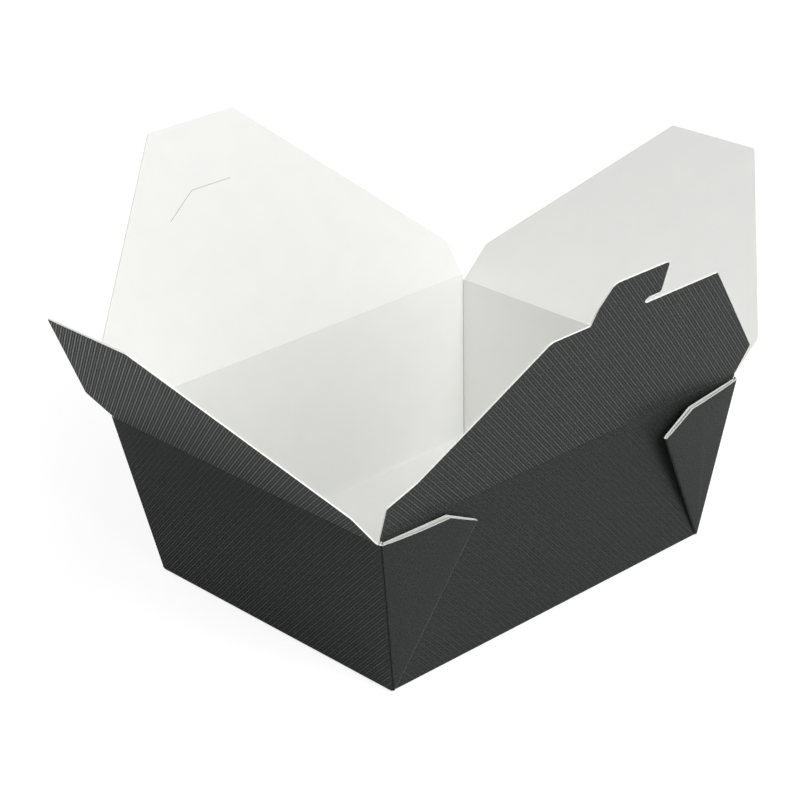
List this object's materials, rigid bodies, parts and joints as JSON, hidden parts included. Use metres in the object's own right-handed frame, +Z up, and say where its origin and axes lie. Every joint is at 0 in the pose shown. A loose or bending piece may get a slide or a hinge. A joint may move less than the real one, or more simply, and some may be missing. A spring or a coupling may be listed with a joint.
{
  "type": "takeaway box",
  "caption": "Folding card food carton with tapered walls, folded corner webs and an open lid of hinged flaps that lock with a hook and slit.",
  "frame": {"origin": "middle of the base's underside", "axes": "+Z up; +X along the hook flap's fold, to the right of someone facing the hook flap's wall, which is the -Y side"},
  "size_m": [0.292, 0.2322, 0.1407],
  "materials": {
    "black_card": "matte, fine diagonal ribs",
    "white_card": "satin"
  },
  "bodies": {
    "tray": {"tray": "black_card"},
    "hook_flap": {"hook_flap": "black_card"},
    "slot_flap": {"slot_flap": "white_card"},
    "left_end_flap": {"left_end_flap": "black_card"},
    "right_end_flap": {"right_end_flap": "white_card"}
  },
  "joints": [
    {"name": "hook_flap_fold", "type": "hinge", "parent": "tray", "child": "hook_flap", "pos_m": [0, -0.069, 0.064], "axis": [1, 0, 0], "range_deg": [-115.6, 73]},
    {"name": "slot_flap_fold", "type": "hinge", "parent": "tray", "child": "slot_flap", "pos_m": [0, 0.069, 0.064], "axis": [-1, 0, 0], "range_deg": [-127, 63]},
    {"name": "left_end_flap_fold", "type": "hinge", "parent": "tray", "child": "left_end_flap", "pos_m": [-0.08489, 0, 0.0618], "axis": [0, -1, 0], "range_deg": [-128.5, 81.5]},
    {"name": "right_end_flap_fold", "type": "hinge", "parent": "tray", "child": "right_end_flap", "pos_m": [0.08489, 0, 0.0618], "axis": [0, 1, 0], "range_deg": [-139.2, 70]}
  ]
}
